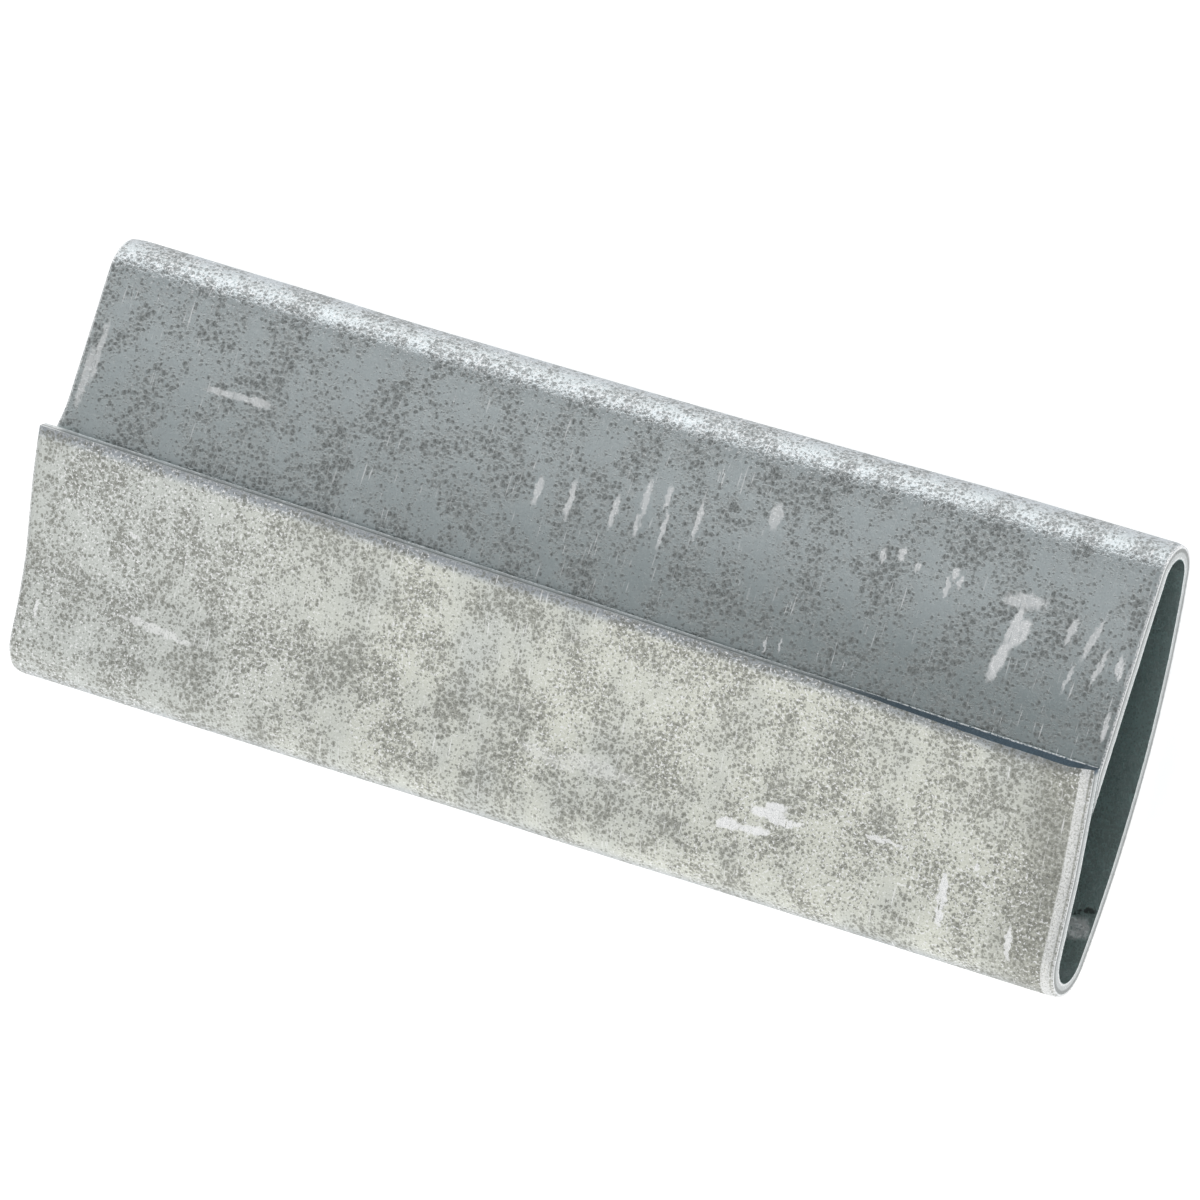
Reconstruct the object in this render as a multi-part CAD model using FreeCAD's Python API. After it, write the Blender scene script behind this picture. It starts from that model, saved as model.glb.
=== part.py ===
import FreeCAD, Part
import math
import os

# Overlap seal for flat steel strapping: one piece of zinc-coated sheet steel, wrapped into a flat
# sleeve that is open at both ends. The back is slightly bowed, a fold runs along each side, and two
# flaps meet in a lap over the passage. The tip of the inner flap is pressed thin where the outer
# flap climbs over it.
#
# Frame: X runs along the passage, Y across it towards the inner flap's fold, and Z up from the bowed
# back to the lap. The origin is under the middle of the back, on the surface that the seal lies on.
# Lengths are in millimetres and angles in degrees.

# Overall size and stock
seal_length = 57.15
seal_width = 22.2
sheet_thickness = 0.72

# Section: radii are those of the outside surface
back_radius = 36.2
inner_fold_radius = 1.90
outer_fold_radius = 2.05
flap_lean = 6.3

# Climb of the outer flap over the inner one
climb_lean = 12.6
climb_start = 5.6
climb_radius = 6.0

# Lap: the free edges drift across the seal a little over its length
lap_edge = 0.65
lap_drift = 1.2
lap_length = 2.2
lap_clearance = 0.04

# Rounding that shearing leaves on the outside of the two ends
edge_rounding = 0.15

# Points nearer than this are one point
same_place = 0.0001


def advance(place, step, share=1.0):
    """Move a share of one step along the middle of the sheet, straight or in a bend."""
    across, up, heading = place
    length, turn = step
    if turn == 0.0:
        across += length * share * math.cos(heading)
        up += length * share * math.sin(heading)
        return across, up, heading
    radius = length / math.radians(turn)
    end_heading = heading + math.radians(turn) * share
    across += radius * (math.sin(end_heading) - math.sin(heading))
    up -= radius * (math.cos(end_heading) - math.cos(heading))
    return across, up, end_heading


def bend(radius, turn):
    """A step that bends at this radius of the sheet's middle, to the left if turn is positive."""
    return radius * math.radians(abs(turn)), turn


def surface_point(place, depth, side):
    """The point at a depth to the right of the walk, which is the outside of the sleeve."""
    across, up, heading = place
    y = side * (across + depth * math.sin(heading))
    z = up - depth * math.cos(heading)
    return FreeCAD.Vector(-seal_length / 2, y, z)


def surface_line(steps, depth, side):
    """Edges of the surface at one depth, from the middle of the back to the end of the steps."""
    place = (0.0, sheet_thickness / 2, 0.0)
    edges = []
    for step in steps:
        start = surface_point(place, depth, side)
        middle = surface_point(advance(place, step, 0.5), depth, side)
        place = advance(place, step)
        end = surface_point(place, depth, side)
        if step[1] == 0.0:
            edges.append(Part.LineSegment(start, end).toShape())
        else:
            edges.append(Part.Arc(start, middle, end).toShape())
    return edges


def wrapped_sheet(steps, side, outside, inside):
    """The sheet along its steps, between two depths, drawn out over the seal's length."""
    outside_edges = surface_line(steps, outside, side)
    inside_edges = surface_line(steps, -inside, side)
    caps = []
    for end in (0, -1):
        outside_end = outside_edges[end].Vertexes[end].Point
        inside_end = inside_edges[end].Vertexes[end].Point
        caps.append(Part.LineSegment(outside_end, inside_end).toShape())
    outline = Part.Wire(Part.__sortEdges__(outside_edges + inside_edges + caps))
    return Part.Face(outline).extrude(FreeCAD.Vector(seal_length, 0, 0))


def half_wrap(fold_radius):
    """Steps from the middle of the back, round one fold, to the start of its flap."""
    half = sheet_thickness / 2
    back_turn = math.degrees(math.asin((seal_width / 2 - fold_radius) / (back_radius - fold_radius)))
    back = bend(back_radius - half, back_turn)
    fold = bend(fold_radius - half, 180.0 - back_turn - flap_lean)
    return [back, fold]


def walked(steps):
    """Place that the sheet's middle has reached at the end of these steps."""
    place = (0.0, sheet_thickness / 2, 0.0)
    for step in steps:
        place = advance(place, step)
    return place


def inner_steps():
    """Steps of the inner flap's half, which run past the place where its tip is cut."""
    steps = half_wrap(inner_fold_radius)
    across = walked(steps)[0]
    reach = across + lap_length + lap_drift + sheet_thickness
    return steps + [(reach / math.cos(math.radians(flap_lean)), 0.0)]


def outer_steps():
    """Steps of the outer flap's half, which run past the place where its edge is cut."""
    steps = half_wrap(outer_fold_radius)
    across = walked(steps)[0]
    level = (across - climb_start) / math.cos(math.radians(flap_lean))
    climb_turn = climb_lean - flap_lean
    climb = (climb_start + lap_edge + lap_drift + sheet_thickness) / math.cos(math.radians(climb_lean))
    return steps + [(level, 0.0), bend(climb_radius, -climb_turn), (climb, 0.0)]


def past_free_edge(steps, edge, side):
    """Space past a flap's free edge, square to the flap and turned by the drift along the seal."""
    across, up, heading = walked(steps[:-1])
    lean = math.pi - heading
    height = up + (across - side * edge) * math.tan(lean)
    shift = -seal_width if side > 0 else 0.0
    corner = FreeCAD.Vector(-seal_length, shift, -height / 2)
    space = Part.makeBox(2 * seal_length, seal_width, height, corner)
    drift_angle = math.degrees(math.atan(lap_drift / seal_length))
    space.rotate(FreeCAD.Vector(0, 0, 0), FreeCAD.Vector(1, 0, 0), -side * math.degrees(lean))
    space.rotate(FreeCAD.Vector(0, 0, 0), FreeCAD.Vector(0, 0, 1), -drift_angle)
    space.translate(FreeCAD.Vector(0, edge, height))
    return space


def outer_half():
    """Half of the sleeve that ends in the outer flap."""
    half = sheet_thickness / 2
    sheet = wrapped_sheet(outer_steps(), -1, half, half)
    return sheet.cut(past_free_edge(outer_steps(), lap_edge, -1))


def inner_half():
    """Half of the sleeve that ends in the inner flap, pressed thin under the outer one."""
    half = sheet_thickness / 2
    sheet = wrapped_sheet(inner_steps(), 1, half, half)
    pressed = wrapped_sheet(outer_steps(), -1, lap_length, half + lap_clearance)
    sheet = sheet.cut(past_free_edge(inner_steps(), lap_edge - lap_length, 1))
    return sheet.cut(pressed)


def lies_on(edge, line):
    """Whether both ends and the middle of an edge are on a line."""
    middle = edge.valueAt((edge.FirstParameter + edge.LastParameter) / 2)
    points = [vertex.Point for vertex in edge.Vertexes] + [middle]
    return all(line.distToShape(Part.Vertex(point))[0] < same_place for point in points)


def outside_line():
    """The outside surface's line at one end of the sleeve, round both halves."""
    half = sheet_thickness / 2
    return Part.Compound(surface_line(outer_steps(), half, -1) + surface_line(inner_steps(), half, 1))


def sheared_edges(sleeve):
    """Outside edges of the sleeve's two ends, where the sheet was sheared."""
    lines = [outside_line(), outside_line()]
    lines[1].translate(FreeCAD.Vector(seal_length, 0, 0))
    return [edge for edge in sleeve.Edges if any(lies_on(edge, line) for line in lines)]


def seal_sleeve():
    """The whole sleeve: both halves joined along the middle of the back, with its ends rounded."""
    sleeve = outer_half().fuse(inner_half()).removeSplitter()
    return sleeve.makeFillet(edge_rounding, sheared_edges(sleeve))


os.makedirs("parts", exist_ok=True)
seal_sleeve().exportStep("parts/seal_sleeve.step")
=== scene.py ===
import math
import random

import bmesh
import bpy
from bpy.props import FloatProperty, FloatVectorProperty, IntProperty, PointerProperty
from mathutils import Matrix, Vector, noise


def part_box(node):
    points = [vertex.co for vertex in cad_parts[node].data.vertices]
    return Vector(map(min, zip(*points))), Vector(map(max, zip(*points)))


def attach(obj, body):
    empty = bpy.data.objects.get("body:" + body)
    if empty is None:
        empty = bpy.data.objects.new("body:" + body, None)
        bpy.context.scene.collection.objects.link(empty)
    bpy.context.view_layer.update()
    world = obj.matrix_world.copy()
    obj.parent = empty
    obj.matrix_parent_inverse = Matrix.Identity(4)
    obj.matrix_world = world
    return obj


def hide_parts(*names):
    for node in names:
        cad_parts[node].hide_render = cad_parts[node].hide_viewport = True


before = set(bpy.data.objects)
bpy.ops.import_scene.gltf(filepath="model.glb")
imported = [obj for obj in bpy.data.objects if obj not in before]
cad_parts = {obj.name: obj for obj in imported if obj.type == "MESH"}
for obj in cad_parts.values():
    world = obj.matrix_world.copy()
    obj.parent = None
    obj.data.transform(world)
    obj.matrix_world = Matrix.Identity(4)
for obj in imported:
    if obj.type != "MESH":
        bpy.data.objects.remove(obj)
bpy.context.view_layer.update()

bl_info = {
    "name": "Strapping Seal",
    "version": (1, 0, 0),
    "blender": (4, 5, 0),
    "location": "View3D > Sidebar > Strapping Seal",
    "description": "Builds an overlap seal for steel strapping, wrapped from one zinc-coated sheet",
    "category": "Add Mesh",
}

NODE = "seal_sleeve"
BODY = "root"
LOW, HIGH = (Vector(corner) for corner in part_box(NODE))
LENGTH = HIGH.x - LOW.x
WIDTH = HIGH.y - LOW.y

mm = 0.001


# Settings ---------------------------------------------------------------------------------------


class SealSheetSettings(bpy.types.PropertyGroup):
    """Sizes of the wrapped sheet; its length and width come from the frame"""

    thickness: FloatProperty(
        name="Thickness", description="Thickness of the sheet", default=0.72 * mm, unit="LENGTH")
    back_radius: FloatProperty(
        name="Back Radius", description="Outside radius of the bowed back",
        default=36.2 * mm, unit="LENGTH")
    inner_fold_radius: FloatProperty(
        name="Inner Flap Fold", description="Outside radius of the fold under the inner flap",
        default=1.90 * mm, unit="LENGTH")
    outer_fold_radius: FloatProperty(
        name="Outer Flap Fold", description="Outside radius of the fold under the outer flap",
        default=2.05 * mm, unit="LENGTH")
    flap_lean: FloatProperty(
        name="Flap Lean", description="Rise of both flaps from the folds to the lap",
        default=math.radians(6.3), subtype="ANGLE")
    climb_lean: FloatProperty(
        name="Climb Lean", description="Rise of the outer flap where it climbs over the inner one",
        default=math.radians(12.6), subtype="ANGLE")
    climb_start: FloatProperty(
        name="Climb Start", description="Distance from the middle to where the outer flap climbs",
        default=5.6 * mm, unit="LENGTH")
    climb_radius: FloatProperty(
        name="Climb Radius", description="Radius of the bend where the climb starts",
        default=5.64 * mm, unit="LENGTH")
    lap_edge: FloatProperty(
        name="Lap Edge", description="How far past the middle the outer flap's edge lies",
        default=0.65 * mm, unit="LENGTH")
    lap_drift: FloatProperty(
        name="Lap Drift", description="How far the free edges drift across over the length",
        default=1.2 * mm, unit="LENGTH")
    lap_length: FloatProperty(
        name="Lap Length", description="How far the inner flap runs under the outer one",
        default=2.2 * mm, unit="LENGTH")
    lap_clearance: FloatProperty(
        name="Lap Clearance", description="Gap between the two flaps under the lap",
        default=0.05 * mm, unit="LENGTH")


class SealWearSettings(bpy.types.PropertyGroup):
    """How the press and the shears have left the sheet"""

    cell: FloatProperty(
        name="Cell", description="Size of the mesh's cells on the open sheet",
        default=0.30 * mm, unit="LENGTH")
    wave_depth: FloatProperty(
        name="Wave Depth", description="Depth of the slow waves that forming leaves",
        default=0.07 * mm, unit="LENGTH")
    rollover_width: FloatProperty(
        name="Rollover Width", description="Width of the band that shearing bends down",
        default=0.50 * mm, unit="LENGTH")
    rollover_depth: FloatProperty(
        name="Rollover Depth", description="How far the edge is bent down",
        default=0.09 * mm, unit="LENGTH")
    tear_depth: FloatProperty(
        name="Tear Depth", description="How far the outer flap's edge is torn back near one end",
        default=0.20 * mm, unit="LENGTH")
    burr: FloatProperty(
        name="Burr", description="Height of the burr on the sheared edges",
        default=0.05 * mm, unit="LENGTH")
    slant: FloatProperty(
        name="Slant", description="How far the left end stands back from the lap's corner",
        default=0.45 * mm, unit="LENGTH")
    slimming: FloatProperty(
        name="Slimming", description="How far both folds are drawn in", default=0.08 * mm,
        unit="LENGTH")
    waist: FloatProperty(
        name="Waist", description="How far the inner flap's fold is drawn in halfway along",
        default=0.20 * mm, unit="LENGTH")
    rim_cuts: IntProperty(
        name="Rim Cuts", description="Cuts across the thickness of the sheared edges", default=4, min=1)


class SealFinishSettings(bpy.types.PropertyGroup):
    """Colours and grain of the zinc coating"""

    zinc: FloatVectorProperty(
        name="Zinc", description="Smooth zinc coating", subtype="COLOR", size=4,
        min=0.0, max=1.0, default=(0.585, 0.636, 0.645, 1.0))
    patina: FloatVectorProperty(
        name="Patina", description="Warm patina on the outer flap", subtype="COLOR", size=4,
        min=0.0, max=1.0, default=(0.648, 0.658, 0.590, 1.0))
    outer_zinc: FloatVectorProperty(
        name="Outer Zinc", description="Smooth zinc coating on the outer flap's half",
        subtype="COLOR", size=4, min=0.0, max=1.0, default=(0.560, 0.582, 0.558, 1.0))
    speck: FloatVectorProperty(
        name="Speck", description="Dull dark specks in the coating", subtype="COLOR", size=4,
        min=0.0, max=1.0, default=(0.225, 0.238, 0.235, 1.0))
    dull: FloatVectorProperty(
        name="Dull", description="Dull coating between crowded specks", subtype="COLOR", size=4,
        min=0.0, max=1.0, default=(0.450, 0.442, 0.425, 1.0))
    olive: FloatVectorProperty(
        name="Olive Speck", description="Dull specks on the outer flap's half", subtype="COLOR",
        size=4, min=0.0, max=1.0, default=(0.268, 0.268, 0.235, 1.0))
    core: FloatVectorProperty(
        name="Speck Core", description="Darkest middle of the specks", subtype="COLOR", size=4,
        min=0.0, max=1.0, default=(0.120, 0.125, 0.120, 1.0))
    burnish: FloatVectorProperty(
        name="Burnish", description="Coating rubbed bright", subtype="COLOR", size=4,
        min=0.0, max=1.0, default=(0.960, 0.960, 0.960, 1.0))
    # Painted shade: this darker, bluer colour stands in for the light that the rolled band and the two
    # folds reflect
    rolled: FloatVectorProperty(
        name="Rolled Edge", description="Coating on the rolled edge of the lap", subtype="COLOR",
        size=4, min=0.0, max=1.0, default=(0.410, 0.440, 0.475, 1.0))
    # Painted shadow: near-black steel on the torn edge at the lap, for the shadow in the gap under it
    torn: FloatVectorProperty(
        name="Torn Edge", description="Oily steel where the outer flap's edge is torn",
        subtype="COLOR", size=4, min=0.0, max=1.0, default=(0.085, 0.120, 0.150, 1.0))
    cut_steel: FloatVectorProperty(
        name="Cut Steel", description="Sheared rims at the two ends", subtype="COLOR", size=4,
        min=0.0, max=1.0, default=(0.540, 0.560, 0.560, 1.0))
    # Painted shade: the inner flap's coating is darkened beside the lap, where the outer flap shades it
    lap_shade: FloatVectorProperty(
        name="Lap Shade", description="Coating dulled beside the lap", subtype="COLOR", size=4,
        min=0.0, max=1.0, default=(0.325, 0.372, 0.378, 1.0))
    inside: FloatVectorProperty(
        name="Inside", description="Oily coating inside the passage", subtype="COLOR", size=4,
        min=0.0, max=1.0, default=(0.640, 0.760, 0.750, 1.0))
    speck_size: FloatProperty(
        name="Speck Size", description="Distance between specks", default=0.215 * mm, unit="LENGTH")
    patch_size: FloatProperty(
        name="Patch Size", description="Size of the patches in which specks cluster",
        default=2.1 * mm, unit="LENGTH")
    roughness: FloatProperty(
        name="Roughness", description="Roughness of the smooth coating",
        default=0.37, min=0.0, max=1.0, subtype="FACTOR")


class SealStudioSettings(bpy.types.PropertyGroup):
    """Floor, lights and camera"""

    floor_size: FloatProperty(
        name="Floor Size", description="Side of the square floor", default=8.0, unit="LENGTH")
    azimuth: FloatProperty(
        name="Azimuth", description="Camera's turn from overhead towards +X",
        default=math.radians(23.373), subtype="ANGLE")
    elevation: FloatProperty(
        name="Elevation", description="Camera's turn from overhead towards +Y",
        default=math.radians(4.420), subtype="ANGLE")
    roll: FloatProperty(
        name="Roll", description="Camera's turn about its own axis",
        default=math.radians(14.953), subtype="ANGLE")
    distance: FloatProperty(
        name="Distance", description="Camera's distance from what it aims at",
        default=0.48423, unit="LENGTH")
    aim: FloatVectorProperty(
        name="Aim", description="What the camera looks at", subtype="XYZ", size=3, unit="LENGTH",
        default=(0.374 * mm, 0.542 * mm, 2.390 * mm))
    lens: FloatProperty(
        name="Lens", description="Focal length", default=304.6, unit="CAMERA")
    world: FloatVectorProperty(
        name="Surroundings", description="Light from all round", subtype="COLOR", size=4,
        min=0.0, max=1.0, default=(0.435, 0.450, 0.460, 1.0))


# The walk round the section ---------------------------------------------------------------------


class Place:
    """A place on the outside of the section, with its heading, seen along the passage"""

    def __init__(self, across, up, heading, distance=0.0):
        self.across = across
        self.up = up
        self.heading = heading
        self.distance = distance

    def moved(self, length, turn):
        """The place after a step along the surface that turns left by an angle."""
        end = self.heading + turn
        if turn == 0.0:
            across = self.across + length * math.cos(end)
            up = self.up + length * math.sin(end)
        else:
            radius = length / turn
            across = self.across + radius * (math.sin(end) - math.sin(self.heading))
            up = self.up - radius * (math.cos(end) - math.cos(self.heading))
        return Place(across, up, end, self.distance + length)

    def outward(self, side):
        """The surface's outward direction, on the half that lies to one side."""
        return Vector((0.0, side * math.sin(self.heading), -math.cos(self.heading)))


def wrap_steps(size, fold_radius):
    """Steps over the back and round one fold, each a length and the angle it turns left."""
    back_turn = math.asin((WIDTH / 2 - fold_radius) / (size.back_radius - fold_radius))
    fold_turn = math.pi - back_turn - size.flap_lean
    return [(size.back_radius * back_turn, back_turn), (fold_radius * fold_turn, fold_turn)]


def end_of(steps):
    """The place that steps from the middle of the back lead to."""
    place = Place(0.0, LOW.z, 0.0)
    for length, turn in steps:
        place = place.moved(length, turn)
    return place


def inner_steps(size):
    """Steps of the half that ends in the inner flap."""
    steps = wrap_steps(size, size.inner_fold_radius)
    corner = size.lap_edge - size.lap_length + size.thickness / 2 * math.sin(size.flap_lean)
    return steps + [((end_of(steps).across - corner) / math.cos(size.flap_lean), 0.0)]


def outer_steps(size):
    """Steps of the half that ends in the outer flap."""
    steps = wrap_steps(size, size.outer_fold_radius)
    level = (end_of(steps).across - size.climb_start) / math.cos(size.flap_lean)
    climb_turn = size.climb_lean - size.flap_lean
    steps = steps + [(level, 0.0), (size.climb_radius * climb_turn, -climb_turn)]
    corner = size.lap_edge - size.thickness / 2 * math.sin(size.climb_lean)
    return steps + [((end_of(steps).across + corner) / math.cos(size.climb_lean), 0.0)]


def crowded(share, crowding=0.8):
    """A share from 0 to 1 moved so that equal steps crowd towards 1."""
    return (1.0 - crowding) * share + crowding * math.sin(share * math.pi / 2)


def smooth(low, high, value):
    """0 below low, 1 above high and a smooth ramp between them."""
    share = min(1.0, max(0.0, (value - low) / (high - low)))
    return share * share * (3.0 - 2.0 * share)


def uneven(point, size):
    """Slow noise from 0 to 1 that changes over about a size."""
    return 0.5 + 0.5 * noise.noise(point / size)


# The sheet's mesh -------------------------------------------------------------------------------

BEND_STEP = math.radians(7.0)

# Sizes of what forming and shearing leave on the sheet. Where there are two values, they are where a
# smooth ramp is 0 and where it is 1.

WAVE_SIZE = 8.0 * mm
WAVE_ACROSS = 1.6
WAVE_UP = 0.5
WIDE_ROLLOVER = 1.8
WAIST_MIDDLE = -5.0 * mm
WAIST_ENDS, WAIST_FULL = 26.0 * mm, 4.0 * mm

SLANT_REACH = 12.0 * mm
OUTER_CORNER = 9.5 * mm, 0.5 * mm
INNER_CORNER = 3.6 * mm, 1.5 * mm
CORNER_LOWEST = 5.0 * mm

JAG_SIZE = 0.22 * mm
SWAY_SIZE = 3.0 * mm
SWAY_DEPTH = 0.03 * mm
SHEARED_SKIN = 0.02
END_REACH = 0.9 * mm
FREE_REACH = 1.3 * mm
TEAR_START = 13.5 * mm, 24.0 * mm
TEAR_END = 28.7 * mm, 27.0 * mm
TEAR_GRAIN = 0.6 * mm
LAP_REACH = 4.0 * mm


class Sheet:
    """The sleeve's mesh, with each vertex's place on the flat sheet kept beside it"""

    def __init__(self, size, wear):
        self.size = size
        self.wear = wear
        self.mesh = bmesh.new()
        layers = self.mesh.verts.layers
        self.around = layers.float.new("around")
        self.depth = layers.float.new("depth")
        self.edge_gap = layers.float.new("edge_gap")
        self.outward = layers.float_vector.new("outward")
        self.reach = {}

    def note_places(self, vertices, place, side, stretch=0.0):
        """Write down where these vertices are on the flat sheet."""
        for vertex in vertices:
            distance = place.distance + stretch * vertex.co.x
            vertex[self.around] = side * distance
            vertex[self.outward] = place.outward(side)

    def first_row(self):
        """A row of edges along the middle of the back, crowded towards the two ends."""
        count = round(LENGTH / self.wear.cell / 2)
        shares = [crowded(index / count) for index in range(-count, count + 1)]
        row = [self.mesh.verts.new((LENGTH / 2 * share, 0.0, LOW.z)) for share in shares]
        for one, other in zip(row, row[1:]):
            self.mesh.edges.new((one, other))
        self.note_places(row, Place(0.0, LOW.z, 0.0), 1)
        return list(self.mesh.edges)

    def extruded(self, row):
        """A new row that is joined to the last one by faces."""
        made = bmesh.ops.extrude_edge_only(self.mesh, edges=row)["geom"]
        edges = [part for part in made if isinstance(part, bmesh.types.BMEdge)]
        vertices = [part for part in made if isinstance(part, bmesh.types.BMVert)]
        return [edge for edge in edges if all(end in vertices for end in edge.verts)], vertices

    def draw_bend(self, row, place, length, turn, side):
        """Spin a row round a bend."""
        count = max(2, math.ceil(max(length / self.wear.cell, abs(turn) / BEND_STEP)))
        radius = length / turn
        centre = (
            0.0,
            side * (place.across - radius * math.sin(place.heading)),
            place.up + radius * math.cos(place.heading),
        )
        for _ in range(count):
            place = place.moved(length / count, turn / count)
            row, vertices = self.extruded(row)
            bmesh.ops.rotate(
                self.mesh, verts=vertices, cent=centre,
                matrix=Matrix.Rotation(side * turn / count, 3, "X"))
            self.note_places(vertices, place, side)
        return row, place

    def draw_run(self, row, place, length, side, drift):
        """Push a row straight on. Drift turns its end, so that the free edge runs askew."""
        count = round(length / self.wear.cell)
        start = place
        done = 0.0
        for index in range(1, count + 1):
            share = crowded(index / count) if drift else index / count
            row, vertices = self.extruded(row)
            step = (share - done) * length
            forward = Vector((0.0, side * math.cos(start.heading), math.sin(start.heading)))
            bmesh.ops.translate(self.mesh, verts=vertices, vec=forward * step)
            slope = drift * (share - done)
            shear = Matrix.Identity(4)
            shear[1][0] = slope * forward.y
            shear[2][0] = slope * forward.z
            bmesh.ops.transform(self.mesh, matrix=shear, verts=vertices)
            done = share
            place = start.moved(share * length, 0.0)
            self.note_places(vertices, place, side, drift * share)
        return row, place

    def draw_half(self, row, steps, side, drift):
        """Draw a row through all the steps of one half."""
        place = Place(0.0, LOW.z, 0.0)
        for index, (length, turn) in enumerate(steps):
            if turn:
                row, place = self.draw_bend(row, place, length, turn, side)
            else:
                last = index == len(steps) - 1
                row, place = self.draw_run(row, place, length, side, drift if last else 0.0)
        self.reach[side] = (place.distance, drift)

    def thicken(self):
        """Give the sheet its thickness on the inside, with fine rows across its sheared edges."""
        mesh = self.mesh
        bmesh.ops.recalc_face_normals(mesh, faces=list(mesh.faces))
        outer = set(mesh.verts)
        bmesh.ops.solidify(mesh, geom=list(mesh.faces), thickness=self.size.thickness)
        for vertex in mesh.verts:
            vertex[self.depth] = 0.0 if vertex in outer else self.size.thickness
        across = [edge for edge in mesh.edges if len(outer.intersection(edge.verts)) == 1]
        bmesh.ops.subdivide_edges(mesh, edges=across, cuts=self.wear.rim_cuts, use_grid_fill=True)

    def gaps(self, vertex):
        """How far a vertex is from its end of the sleeve and from its flap's free edge."""
        side = 1 if vertex[self.around] > 0.0 else -1
        distance, stretch = self.reach[side]
        free = distance + stretch * vertex.co.x - abs(vertex[self.around])
        return max(0.0, LENGTH / 2 - abs(vertex.co.x)), max(0.0, free), side

    def lap_limit(self, place, across):
        """The height under the outer flap at a distance across the seal."""
        lean = self.size.climb_lean
        above = place.up + (place.across + across) * math.tan(lean)
        return above - self.size.thickness / math.cos(lean) - self.size.lap_clearance

    def drawn_in(self, outside, outward, end_gap, free_gap, side, skin):
        """How far the waves, the rolled edges and the waist draw the sheet in."""
        wear = self.wear
        ripple = Vector((outside.x, WAVE_ACROSS * outside.y, WAVE_UP * outside.z))
        wave = wear.wave_depth * uneven(ripple, WAVE_SIZE)
        wide = side > 0 and outside.x < 0.0 and end_gap < free_gap
        width = wear.rollover_width * (WIDE_ROLLOVER if wide else 1.0)
        bent = 1.0 - min(1.0, min(end_gap, free_gap) / width)
        roll = wear.rollover_depth * bent ** 2 * skin
        from_waist = abs(outside.x - WAIST_MIDDLE)
        waist = wear.waist * smooth(WAIST_ENDS, WAIST_FULL, from_waist) * max(0.0, outward.y)
        slimming = wear.slimming * abs(outward.y)
        return wave + roll + waist + slimming

    def set_back(self, outside, end_gap, free_gap, side):
        """How far the left end stands back. The flaps' corners at the lap stay nearer in line."""
        if outside.x >= 0.0:
            return 0.0
        corner = 0.0
        if side > 0:
            corner = smooth(*INNER_CORNER, free_gap) / 2
        elif outside.z >= CORNER_LOWEST:
            corner = smooth(*OUTER_CORNER, free_gap)
        return self.wear.slant * (1.0 - corner) * max(0.0, 1.0 - end_gap / SLANT_REACH)

    def raggedness(self, outside, around, skin):
        """How far a sheared edge is broken back, least where the shears first cut it."""
        jag = uneven(Vector((outside.x, around, 0.0)), JAG_SIZE)
        if skin < SHEARED_SKIN:
            return self.wear.burr * 0.6 * jag
        fracture = smooth(0.35, 0.75, 1.0 - skin)
        return self.wear.burr * ((1.0 - fracture) * 0.5 + fracture * jag)

    def tear(self, outside, side, skin):
        """How far the outer flap's free edge is torn back near the right-hand end."""
        if side > 0:
            return 0.0
        torn = self.wear.tear_depth * skin
        torn *= smooth(*TEAR_START, outside.x) * smooth(*TEAR_END, outside.x)
        return torn * (0.90 + 0.2 * uneven(Vector((outside.x, 0.0, 5.0 * mm)), TEAR_GRAIN))

    def press(self, climb):
        """Press waves, rolled edges, the lap and the torn edge into the sheet, all of them inwards."""
        for vertex in self.mesh.verts:
            end_gap, free_gap, side = self.gaps(vertex)
            vertex[self.edge_gap] = min(end_gap, free_gap)
            outward = vertex[self.outward]
            skin = 1.0 - vertex[self.depth] / self.size.thickness
            outside = vertex.co + outward * vertex[self.depth]

            shift = -outward * self.drawn_in(outside, outward, end_gap, free_gap, side, skin)
            shift.x += self.set_back(outside, end_gap, free_gap, side)

            ragged = self.raggedness(outside, vertex[self.around], skin)
            sway = SWAY_DEPTH * uneven(Vector((side * 9.0 * mm, outside.y, outside.z)), SWAY_SIZE)
            near_end = max(0.0, 1.0 - end_gap / END_REACH)
            near_free = max(0.0, 1.0 - free_gap / FREE_REACH)
            toward_middle = -1.0 if outside.x > 0.0 else 1.0
            shift.x += toward_middle * (ragged + sway) * near_end ** 2
            inward = Vector((0.0, side * abs(outward.z), -abs(outward.y)))
            torn = self.tear(outside, side, skin)
            shift += inward * (torn * near_free + ragged * near_free ** 2)

            if side > 0 and free_gap < LAP_REACH:
                spare = outside.z - self.lap_limit(climb, outside.y)
                shift.z -= max(0.0, spare) * skin
            vertex.co += shift


# Shader maths -----------------------------------------------------------------------------------


class Signal:
    """A node's output that can stand in arithmetic"""

    def __init__(self, shader, socket):
        self.shader = shader
        self.socket = socket

    def math(self, operation, *values):
        """The result of a Math node."""
        return self.shader.add("ShaderNodeMath", {"operation": operation}, dict(enumerate(values)))

    def __add__(self, other):
        return self.math("ADD", self, other)

    def __sub__(self, other):
        return self.math("SUBTRACT", self, other)

    def __mul__(self, other):
        return self.math("MULTIPLY", self, other)

    def __radd__(self, other):
        return self.math("ADD", other, self)

    def __rsub__(self, other):
        return self.math("SUBTRACT", other, self)

    def __rmul__(self, other):
        return self.math("MULTIPLY", other, self)

    def __abs__(self):
        return self.math("ABSOLUTE", self)

    def beside(self, name):
        """Another output of the same node."""
        return Signal(self.shader, self.socket.node.outputs[name])

    def larger(self, other):
        """The larger of two values."""
        return self.math("MAXIMUM", self, other)

    def ramp(self, low, high):
        """0 at low, 1 at high and a smooth ramp between them."""
        settings = {"interpolation_type": "SMOOTHSTEP"}
        return self.shader.add(
            "ShaderNodeMapRange", settings, {"Value": self, "From Min": low, "From Max": high})


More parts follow.
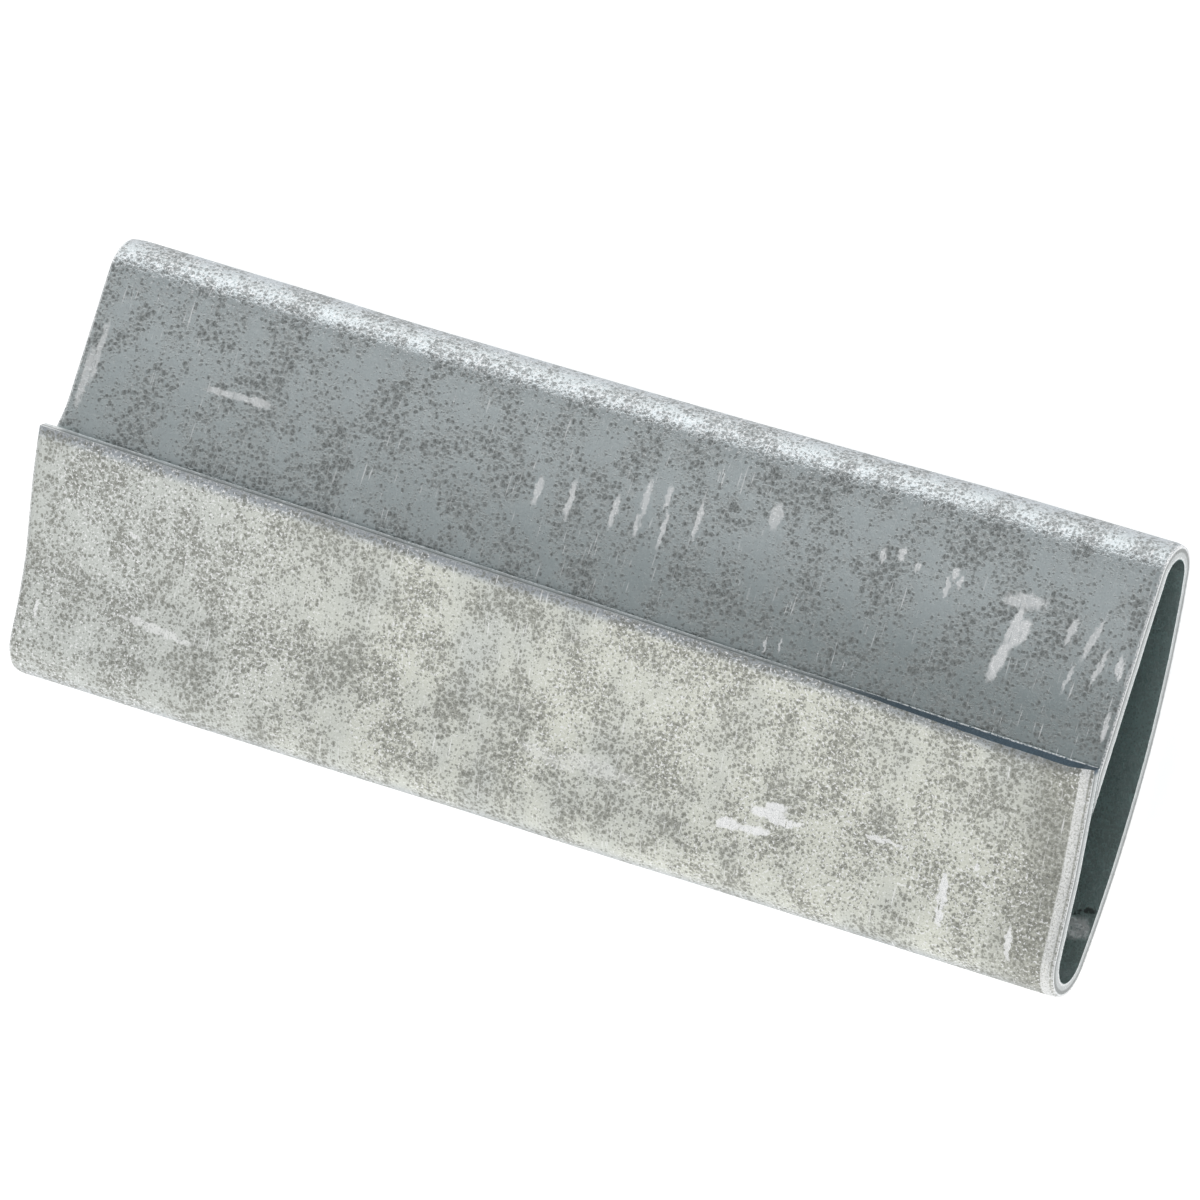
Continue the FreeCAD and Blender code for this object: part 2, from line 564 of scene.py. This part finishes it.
class Shader:
    """A node tree that grows one node at a time"""

    def __init__(self, tree):
        self.tree = tree
        tree.nodes.clear()

    def add(self, kind, settings, inputs, output=0):
        """Add a node, its settings first and then its sockets, and give one of its outputs, if any."""
        node = self.tree.nodes.new(kind)
        for name, value in settings.items():
            setattr(node, name, value)
        for name, value in inputs.items():
            if isinstance(value, Signal):
                self.tree.links.new(value.socket, node.inputs[name])
            else:
                node.inputs[name].default_value = value
        return Signal(self, node.outputs[output]) if node.outputs else None

    def attribute(self, name):
        """A number kept on the mesh's vertices."""
        settings = {"attribute_type": "GEOMETRY", "attribute_name": name}
        return self.add("ShaderNodeAttribute", settings, {}, "Fac")

    def noise(self, point, size, detail=2.0, roughness=0.5):
        """Noise from 0 to 1 that changes over about a size."""
        inputs = {"Vector": point, "Scale": 1.0 / size, "Detail": detail, "Roughness": roughness}
        return self.add("ShaderNodeTexNoise", {}, inputs, "Fac")

    def dots(self, point, size, fill):
        """Round dots of uneven size, one to a cell, that grow and crowd together as fill rises."""
        inputs = {"Vector": point, "Scale": 1.0 / size}
        reach = self.add("ShaderNodeTexVoronoi", {"voronoi_dimensions": "2D"}, inputs, "Distance")
        lot = self.add("ShaderNodeSeparateXYZ", {}, {0: reach.beside("Color")}, "X")
        return (fill + lot * 0.40 - reach).ramp(-0.06, 0.12)

    def stretched(self, point, scale):
        """A point with its three parts scaled."""
        return self.add("ShaderNodeVectorMath", {"operation": "MULTIPLY"}, {0: point, 1: scale})

    def shaken(self, point, warp, reach):
        """A point moved about in the sheet's plane by a noise's colour."""
        inputs = {0: point, 1: self.stretched(warp, (reach, reach, 0.0))}
        return self.add("ShaderNodeVectorMath", {"operation": "ADD"}, inputs)

    def mixed(self, share, one, other):
        """One colour turning into the other."""
        return self.add("ShaderNodeMix", {"data_type": "RGBA"}, {0: share, 6: one, 7: other}, 2)

    def rubbed(self, point, marks):
        """How strongly the marks have rubbed the coating, from 0 to 1."""
        rub = 0.0
        for along, around, length, width, turn, strength in marks:
            inputs = {
                "Vector": point,
                "Location": (along, around, 0.0),
                "Rotation": (0.0, 0.0, turn),
                "Scale": (length / 2, width / 2, 0.3 * mm),
            }
            local = self.add("ShaderNodeMapping", {"vector_type": "TEXTURE"}, inputs)
            reach = self.add("ShaderNodeVectorMath", {"operation": "LENGTH"}, {0: local}, "Value")
            rub = (reach.ramp(1.0, 0.55) * strength).larger(rub)
        return rub


# The zinc coating -------------------------------------------------------------------------------

# Scuffed places on the flaps. Each has its middle, lengthwise and crosswise from the seal's middle,
# how far its marks stray from there both ways, how far one mark runs both ways, a mark's width, how
# many there are, and a strength. All but the last two numbers are in millimetres.

INNER_FLAP_SCUFFS = [
    (1.5, 5.5, 4.5, 1.0, 0.0, 2.0, 0.4, 8, 0.65),
    (9.5, 6.5, 0.5, 0.5, 0.0, 1.5, 0.6, 2, 0.55),
    (11.0, 1.5, 0.5, 0.5, 0.0, 1.0, 0.2, 2, 0.70),
    (17.5, 6.5, 2.5, 0.5, 0.0, 1.0, 0.4, 6, 0.70),
    (22.5, 6.5, 0.0, 0.0, 3.0, 0.5, 1.0, 1, 0.60),
    (22.5, 4.0, 0.5, 1.5, 0.5, 2.5, 0.7, 4, 0.80),
    (26.0, 4.5, 1.0, 1.5, 0.5, 2.5, 0.4, 5, 0.60),
    (28.0, 3.5, 0.2, 2.0, 0.0, 1.5, 0.3, 3, 0.80),
    (-20.0, 5.0, 1.0, 0.2, 3.0, 0.0, 0.5, 2, 0.55),
    (-27.5, 5.0, 0.3, 1.5, 0.0, 4.0, 0.5, 2, 0.50),
]
OUTER_FLAP_SCUFFS = [
    (12.5, -7.0, 1.5, 1.0, 2.0, 0.2, 0.6, 5, 0.95),
    (18.0, -6.0, 2.0, 0.2, 2.0, 0.0, 0.3, 2, 0.75),
    (22.5, -8.0, 0.3, 0.5, 0.3, -2.0, 0.4, 2, 0.95),
    (24.0, -6.5, 0.5, 0.5, 0.5, 0.0, 0.3, 2, 0.80),
    (26.5, -9.0, 0.5, 0.3, 0.0, 2.0, 0.3, 2, 0.85),
    (-27.0, -7.5, 0.0, 0.5, 0.0, 1.5, 0.3, 1, 0.80),
    (-23.0, -3.0, 1.0, 0.5, 1.0, -0.5, 0.2, 2, 0.80),
    (-19.0, -7.0, 3.0, 0.3, 6.0, -0.3, 0.5, 2, 0.50),
    (1.0, -7.5, 4.0, 0.8, 6.0, -1.0, 0.8, 3, 0.40),
]

# A bared spot and a spot of soot inside the back, beside the right-hand end: their places along
# and around the sheet, their lengths, widths, turns and strengths.
BARED_INSIDE = (27.8 * mm, -8.0 * mm, 1.8 * mm, 1.4 * mm, 0.0, 1.0)
SOOT_INSIDE = (27.9 * mm, -7.1 * mm, 1.5 * mm, 0.4 * mm, 0.3, 0.9)


def scuff_marks(scuffs):
    """The single marks of every scuffed place, each from one end to the other."""
    chance = random.Random(5)
    marks = []
    for along, across, stray_along, stray_across, run, rise, width, count, strength in scuffs:
        for _ in range(count):
            middle_along = along + chance.uniform(-stray_along, stray_along)
            middle_across = across + chance.uniform(-stray_across, stray_across)
            half = chance.uniform(0.35, 0.65)
            start = (middle_along - half * run, middle_across - half * rise)
            end = (middle_along + half * run, middle_across + half * rise)
            marks.append((*start, *end, width * chance.uniform(0.7, 1.2), strength))
    return marks


def on_sheet(marks, size, side):
    """The marks as middles, lengths, widths, turns and strengths on the flat sheet."""
    fold_radius = size.inner_fold_radius if side > 0 else size.outer_fold_radius
    fold = end_of(wrap_steps(size, fold_radius))
    placed = []
    for from_along, from_across, to_along, to_across, width, strength in marks:
        ends = []
        for along, across in ((from_along, from_across), (to_along, to_across)):
            run = (fold.across - side * across * mm) / math.cos(size.flap_lean)
            ends.append(Vector((along * mm, side * (fold.distance + run))))
        middle = (ends[0] + ends[1]) / 2
        line = ends[1] - ends[0]
        placed.append(
            (middle.x, middle.y, line.length, width * mm, math.atan2(line.y, line.x), strength))
    return placed


class ZincCoating:
    """Zinc with dull specks, patches of patina, rubbed marks, sheared edges, painted shade and
    highlights
    """

    def __init__(self, finish, size):
        self.finish = finish
        self.size = size
        self.material = bpy.data.materials.new("zinc_coated_steel")
        self.material.use_nodes = True
        self.shader = Shader(self.material.node_tree)
        self.find_places()
        self.find_grain()
        self.find_specks()
        self.find_rubbed()
        self.find_rim()
        self.finish_surface(self.inside_colour(self.rim_colour(self.outside_colour())))

    def find_places(self):
        """Where a point lies: on which half, on the rim or inside, and how far from each edge."""
        shader, size = self.shader, self.size
        place = shader.add("ShaderNodeTexCoord", {}, {}, "Object")
        self.along = shader.add("ShaderNodeSeparateXYZ", {}, {0: place}, "X")
        self.around = shader.attribute("around")
        self.depth = shader.attribute("depth")
        self.point = shader.add(
            "ShaderNodeCombineXYZ", {}, {0: self.along, 1: self.around, 2: self.depth})

        self.inside = self.depth.ramp(size.thickness * 0.93, size.thickness * 0.99)
        self.rim = self.depth.ramp(0.01 * mm, 0.04 * mm) * (1.0 - self.inside)
        self.outer_half = self.around.ramp(-1.0 * mm, -3.0 * mm)
        self.end_gap = LENGTH / 2 - self.along

        drift = size.lap_drift / LENGTH
        inner_reach = end_of(inner_steps(size)).distance - size.lap_length
        self.lap_gap = inner_reach + drift * self.along - self.around
        outer_reach = end_of(outer_steps(size)).distance
        self.free_gap = outer_reach - drift * self.along + self.around

        past_back = abs(self.around) - wrap_steps(size, size.inner_fold_radius)[0][0]
        # The inner flap's fold: a speckled highlight is painted on it, and it is smoother and grainier
        fold = past_back.ramp(2.7 * mm, 3.6 * mm) * past_back.ramp(6.6 * mm, 4.2 * mm)
        self.fold = fold * (1.0 - self.outer_half)
        # Painted shade: both folds are painted darker where they turn
        self.painted_fold_shade = past_back.ramp(0.6 * mm, 2.0 * mm) * past_back.ramp(4.2 * mm, 3.0 * mm)

    def find_grain(self):
        """The noises that several finishes share."""
        shader, point = self.shader, self.point
        grain = self.finish.speck_size
        inputs = {"Vector": point, "Scale": 1.0 / (0.35 * mm), "Detail": 2.0}
        warp = shader.add("ShaderNodeTexNoise", {}, inputs, "Color")
        halves = {0: warp, 1: (0.5, 0.5, 0.5)}
        warp = shader.add("ShaderNodeVectorMath", {"operation": "SUBTRACT"}, halves)
        self.shaken = shader.shaken(point, warp, 0.22 * mm)
        self.ragged = shader.shaken(point, warp, 0.45 * mm)
        drawn_out = shader.stretched(point, (1.0, 0.72, 1.0))
        self.patches = shader.noise(drawn_out, self.finish.patch_size, 4.0, 0.64)
        self.coarse = shader.noise(point, grain, 1.5, 0.5)
        self.fine = shader.noise(point, grain * 0.45, 2.0, 0.6)
        self.glint = shader.noise(point, grain * 0.70, 2.0, 0.65)
        self.tint = shader.noise(shader.stretched(point, (1.0, 0.6, 1.0)), 6.0 * mm, 3.0, 0.6)

    def find_specks(self):
        """Dots that grow and merge in patches drawn out across the sheet, and near one end."""
        wide, narrow = self.finish.speck_size * 1.35, self.finish.speck_size * 0.75
        self.dull_end = self.end_gap.ramp(4.5 * mm, 1.5 * mm) * self.outer_half
        self.crowd = self.patches.ramp(0.32, 0.64).larger(self.dull_end * 0.9)
        fill = self.crowd * 0.38 + self.fold * 0.05 - 0.14
        large = self.shader.dots(self.shaken, wide, fill)
        small = self.shader.dots(self.shaken, narrow, fill - 0.02)
        self.speck = large.larger(small * 0.85)
        self.core = self.shader.dots(self.shaken, wide, fill - 0.17) * self.fine.ramp(0.35, 0.60)

    def find_rubbed(self):
        """Ragged rubbed marks, a band, edge lines, scratches and fleck, part painted glint and
        highlight.
        """
        shader, fine, outer_half = self.shader, self.fine, self.outer_half
        marks = on_sheet(scuff_marks(INNER_FLAP_SCUFFS), self.size, 1)
        marks += on_sheet(scuff_marks(OUTER_FLAP_SCUFFS), self.size, -1)
        streaks = shader.noise(shader.stretched(self.point, (1.0, 0.12, 1.0)), 0.16 * mm, 2.0, 0.6)
        rub = shader.rubbed(self.ragged, marks) * streaks.ramp(0.22, 0.45)
        solid = rub * (1.0 - outer_half).larger(rub.ramp(0.20, 0.55))

        band = self.end_gap.ramp(0.70 * mm, 0.62 * mm) * self.end_gap.ramp(0.14 * mm, 0.24 * mm)
        scuff = band * outer_half * (0.35 + 0.65 * fine.ramp(0.35, 0.55)) * 0.75

        left = self.along.ramp(12 * mm, 6 * mm) * 0.30
        self.whole = left.larger(self.free_gap.ramp(0.5 * mm, 1.0 * mm))
        near_edge = shader.attribute("edge_gap").ramp(0.15 * mm, 0.06 * mm)
        line = near_edge * fine.ramp(0.40, 0.55) * self.whole

        # Bright fleck on the grain: partly rubbed coating, partly painted glints for the grain's
        # sparkle, most on the outer flap
        share = 0.08 + outer_half * (0.20 + 0.80 * self.tint.ramp(0.42, 0.58))
        # Painted highlight: more bright fleck on the inner flap's fold, fewer towards the right-hand
        # end
        share = share + self.fold * (0.55 - 0.25 * self.along.ramp(5 * mm, 28 * mm))
        flecks_and_painted_glints = self.glint.ramp(0.54, 0.66) * (share + rub * 0.9)

        scratches = shader.noise(shader.stretched(self.point, (1.0, 0.07, 1.0)), 0.12 * mm, 1.0, 0.5)
        scratches = scratches.ramp(0.66, 0.74) * self.tint.ramp(0.62, 0.40) * 0.55

        bright = solid.larger(scuff).larger(line * 0.85).larger(flecks_and_painted_glints).larger(scratches)
        self.bright = bright * (1.0 - self.inside)

    def find_rim(self):
        """Rim corners, scraped and painted as dotted highlights, and the bared spot inside the back."""
        thickness = self.size.thickness
        # Painted highlight: dotted bright lines along both corners of the sheared rims, partly scraped
        # steel
        burr = self.depth.ramp(thickness * 0.76, thickness * 0.90) * self.fine.ramp(0.40, 0.54)
        lip = self.depth.ramp(0.15 * mm, 0.08 * mm) * self.fine.ramp(0.38, 0.50) * self.whole
        self.corners = burr.larger(lip) * self.rim * 0.9
        self.beneath = self.shader.stretched(self.ragged, (1.0, 1.0, 0.0))
        bared = self.shader.rubbed(self.beneath, [BARED_INSIDE]) * self.inside
        self.bared = bared * self.fine.ramp(0.30, 0.46)

    def outside_colour(self):
        """The coating outside, with its patina, painted shade, specks, rubbed marks and painted glints.
        """
        mixed, finish, outer_half = self.shader.mixed, self.finish, self.outer_half
        bright, fine = self.bright, self.fine
        warmth = self.along.ramp(-24 * mm, -4 * mm) * self.tint.ramp(0.25, 0.60)
        outer_colour = mixed(warmth, finish.outer_zinc, finish.patina)
        colour = mixed(outer_half, finish.zinc, outer_colour)

        # Painted shade on the rolled band along the outer flap's free edge
        rolled = self.free_gap.ramp(0.70 * mm, 0.20 * mm)
        rolled = rolled * (1.0 - 0.2 * self.along.ramp(8 * mm, 18 * mm))
        colour = mixed(rolled, colour, finish.rolled)
        # Painted shade: the inner flap darkens towards the lap, most towards the right-hand end, under
        # the outer flap's edge
        shade = self.lap_gap.ramp(6.5 * mm, 1.0 * mm) * (1.0 - outer_half)
        shade = shade * (0.35 + 0.55 * self.along.ramp(-20 * mm, 20 * mm))
        colour = mixed(shade, colour, finish.lap_shade)
        # Painted shade on both folds, in the rolled band's colour
        colour = mixed(self.painted_fold_shade * 0.75, colour, finish.rolled)

        dark = mixed(outer_half, finish.speck, finish.olive)
        colour = mixed(self.dull_end * 0.50, colour, dark)
        dull = self.crowd * (0.16 + 0.30 * self.coarse.ramp(0.40, 0.60)) * (1.0 - 0.45 * outer_half)
        colour = mixed(dull, colour, finish.dull)
        colour = mixed(fine.ramp(0.60, 0.30) * 0.16, colour, dark)
        speck_share = self.speck * (0.55 + 0.45 * fine.ramp(0.35, 0.65)) * (1.0 - 0.85 * bright)
        colour = mixed(speck_share * 0.85, colour, dark)
        core_share = self.core * (1.0 - bright) * (0.55 - 0.15 * outer_half)
        colour = mixed(core_share, colour, finish.core)
        return mixed(bright, colour, finish.burnish)

    def rim_colour(self, colour):
        """The sheared rims laid over the coating, with painted shadow on the torn edge at the lap."""
        mixed, finish = self.shader.mixed, self.finish
        # Painted shadow: the torn edge at the lap, towards the right-hand end, is painted near black
        torn = self.free_gap.ramp(0.4 * mm, 0.1 * mm) * self.along.ramp(12 * mm, 18 * mm)
        dark_band = self.depth.ramp(0.10 * mm, 0.17 * mm) * self.depth.ramp(0.40 * mm, 0.28 * mm)
        rim_colour = mixed(dark_band * 0.60, finish.cut_steel, finish.core)
        rim_colour = mixed(torn, rim_colour, finish.torn)
        return mixed(self.rim, colour, rim_colour)

    def inside_colour(self, colour):
        """The oily inside, its bared spot and soot, then the rim's corners, scraped and painted bright.
        """
        mixed, finish, inside = self.shader.mixed, self.finish, self.inside
        grime = inside * (0.75 + 0.25 * self.patches.ramp(0.35, 0.6))
        colour = mixed(grime, colour, finish.inside)
        colour = mixed(self.bared, colour, finish.burnish)
        soot = self.shader.rubbed(self.beneath, [SOOT_INSIDE]) * inside
        colour = mixed(soot * self.coarse.ramp(0.36, 0.52), colour, finish.core)
        smudge = inside * self.speck.larger(self.patches.ramp(0.50, 0.60) * 0.6)
        colour = mixed(smudge * 0.40, colour, finish.core)
        # Partly painted highlight: the rim's corners in dotted bright lines
        return mixed(self.corners, colour, finish.burnish)

    def finish_surface(self, colour):
        """Metal that is duller in the specks, smoother where rubbed, and grainy where crowded."""
        shader, fold, bright, fine = self.shader, self.fold, self.bright, self.fine
        roughness = self.finish.roughness - 0.07 * fold + 0.12 * self.speck
        roughness = roughness + 0.08 * (fine - 0.5) - 0.12 * bright
        metallic = 1.0 - 0.65 * bright.larger(self.corners).larger(self.bared)
        grit = self.glint * (0.050 * mm) * (0.12 + 0.38 * self.crowd).larger(fold * 0.8)
        height = (self.speck * (-0.010 * mm) + grit) * (1.0 - 0.85 * self.inside)
        height = height + self.patches * (0.03 * mm)
        normal = shader.add("ShaderNodeBump", {}, {"Strength": 1.0, "Distance": 1.0, "Height": height})
        surface = shader.add(
            "ShaderNodeBsdfPrincipled", {},
            {"Base Color": colour, "Roughness": roughness, "Normal": normal, "Metallic": metallic})
        shader.add("ShaderNodeOutputMaterial", {}, {"Surface": surface})


# The stage --------------------------------------------------------------------------------------

SHARPEST_SMOOTH = math.radians(48.0)

# Each lamp has the direction it stands in, its distance, width, height, radiance and colour.
LAMPS = [
    ("back_lamp", (-0.37, 0.85, 0.37), 1.0, 1.6, 0.70, 1.24, (1.00, 0.98, 1.00)),
    ("front_lamp", (-0.37, -0.70, 0.61), 1.2, 1.8, 2.10, 0.68, (1.00, 0.985, 0.955)),
    ("end_lamp", (0.85, -0.20, 0.48), 1.2, 0.7, 0.70, 0.50, (1.00, 1.00, 1.00)),
]


def floor_material():
    """Matt white paint that glows a little, so that the floor stays evenly pale."""
    material = bpy.data.materials.new("white_floor")
    material.use_nodes = True
    shader = Shader(material.node_tree)
    place = shader.add("ShaderNodeTexCoord", {}, {}, "Object")
    mottle = shader.noise(place, 0.05, 3.0, 0.5)
    colour = shader.mixed(mottle, (0.86, 0.86, 0.86, 1.0), (0.90, 0.90, 0.90, 1.0))
    inputs = {
        "Base Color": colour,
        "Roughness": 0.9,
        "Specular IOR Level": 0.1,
        "Emission Color": (1.0, 1.0, 1.0, 1.0),
        "Emission Strength": 0.60,
    }
    surface = shader.add("ShaderNodeBsdfPrincipled", {}, inputs)
    shader.add("ShaderNodeOutputMaterial", {}, {"Surface": surface})
    return material


def lamp(name, direction, distance, width, height, radiance, colour):
    """A rectangular lamp that faces the seal, its width lying along the seal."""
    light = bpy.data.lights.new(name, "AREA")
    light.shape = "RECTANGLE"
    light.size = width
    light.size_y = height
    light.energy = radiance * math.pi * width * height
    light.color = colour
    holder = bpy.data.objects.new(name, light)
    back = Vector(direction).normalized()
    side = (Vector((1.0, 0.0, 0.0)) - back * back.x).normalized()
    turn = Matrix((side, back.cross(side), back)).transposed()
    holder.matrix_world = Matrix.Translation(back * distance) @ turn.to_4x4()
    bpy.context.collection.objects.link(holder)


def finished(mesh, name, material):
    """Turn a bmesh into an object that shades smoothly up to its sharp edges."""
    data = bpy.data.meshes.new(name)
    mesh.to_mesh(data)
    mesh.free()
    data.materials.append(material)
    data.shade_smooth()
    data.set_sharp_from_angle(angle=SHARPEST_SMOOTH)
    piece = bpy.data.objects.new(name, data)
    bpy.context.collection.objects.link(piece)
    return piece


# Operators --------------------------------------------------------------------------------------


class SEAL_OT_build_sleeve(bpy.types.Operator):
    """Wrap the sheet into the sleeve, press it into shape and coat it with zinc"""

    bl_idname = "seal.build_sleeve"
    bl_label = "Build Sleeve"

    def execute(self, context):
        size = context.scene.seal_sheet
        wear = context.scene.seal_wear
        drift = size.lap_drift / LENGTH
        sheet = Sheet(size, wear)
        row = sheet.first_row()
        sheet.draw_half(row, inner_steps(size), 1, drift / math.cos(size.flap_lean))
        sheet.draw_half(row, outer_steps(size), -1, -drift / math.cos(size.climb_lean))
        sheet.thicken()
        sheet.press(end_of(outer_steps(size)[:-1]))
        coating = ZincCoating(context.scene.seal_finish, size)
        piece = finished(sheet.mesh, "zinc_sleeve", coating.material)
        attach(piece, BODY)
        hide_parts(NODE)
        return {"FINISHED"}


class SEAL_OT_set_stage(bpy.types.Operator):
    """Lay the floor, hang the lamps and set up the camera"""

    bl_idname = "seal.set_stage"
    bl_label = "Set Stage"

    def execute(self, context):
        studio = context.scene.seal_studio
        mesh = bmesh.new()
        bmesh.ops.create_grid(mesh, x_segments=2, y_segments=2, size=studio.floor_size / 2)
        floor = finished(mesh, "floor", floor_material())
        for settings in LAMPS:
            lamp(*settings)

        world = bpy.data.worlds.new("studio")
        world.use_nodes = True
        shader = Shader(world.node_tree)
        surroundings = {"Color": tuple(studio.world), "Strength": 1.0}
        light = shader.add("ShaderNodeBackground", {}, surroundings)
        shader.add("ShaderNodeOutputWorld", {}, {"Surface": light})
        context.scene.world = world
        context.scene.view_settings.view_transform = "Standard"

        turn = Matrix.Rotation(studio.azimuth, 3, "Y") @ Matrix.Rotation(-studio.elevation, 3, "X")
        turn = turn @ Matrix.Rotation(studio.roll, 3, "Z")
        lens = bpy.data.cameras.new("camera")
        lens.lens = studio.lens
        camera = bpy.data.objects.new("camera", lens)
        place = Vector(studio.aim) + turn.col[2] * studio.distance
        camera.matrix_world = Matrix.Translation(place) @ turn.to_4x4()
        context.collection.objects.link(camera)
        context.scene.camera = camera
        return {"FINISHED"}


class SEAL_PT_panel(bpy.types.Panel):
    """Lists the seal's sizes and the buttons that build it"""

    bl_idname = "SEAL_PT_panel"
    bl_label = "Strapping Seal"
    bl_space_type = "VIEW_3D"
    bl_region_type = "UI"
    bl_category = "Strapping Seal"

    def draw(self, context):
        layout = self.layout
        scene = context.scene
        for settings in (scene.seal_sheet, scene.seal_wear, scene.seal_finish):
            box = layout.box()
            for name in settings.__annotations__:
                box.prop(settings, name)
        layout.operator(SEAL_OT_build_sleeve.bl_idname)
        box = layout.box()
        for name in scene.seal_studio.__annotations__:
            box.prop(scene.seal_studio, name)
        layout.operator(SEAL_OT_set_stage.bl_idname)


CLASSES = (
    SealSheetSettings,
    SealWearSettings,
    SealFinishSettings,
    SealStudioSettings,
    SEAL_OT_build_sleeve,
    SEAL_OT_set_stage,
    SEAL_PT_panel,
)


def register():
    for made in CLASSES:
        bpy.utils.register_class(made)
    bpy.types.Scene.seal_sheet = PointerProperty(type=SealSheetSettings)
    bpy.types.Scene.seal_wear = PointerProperty(type=SealWearSettings)
    bpy.types.Scene.seal_finish = PointerProperty(type=SealFinishSettings)
    bpy.types.Scene.seal_studio = PointerProperty(type=SealStudioSettings)


def unregister():
    del bpy.types.Scene.seal_studio
    del bpy.types.Scene.seal_finish
    del bpy.types.Scene.seal_wear
    del bpy.types.Scene.seal_sheet
    for made in reversed(CLASSES):
        bpy.utils.unregister_class(made)


def main():
    """Build the seal and its stage."""
    register()
    bpy.ops.seal.set_stage()
    bpy.ops.seal.build_sleeve()


if __name__ == "__main__":
    main()
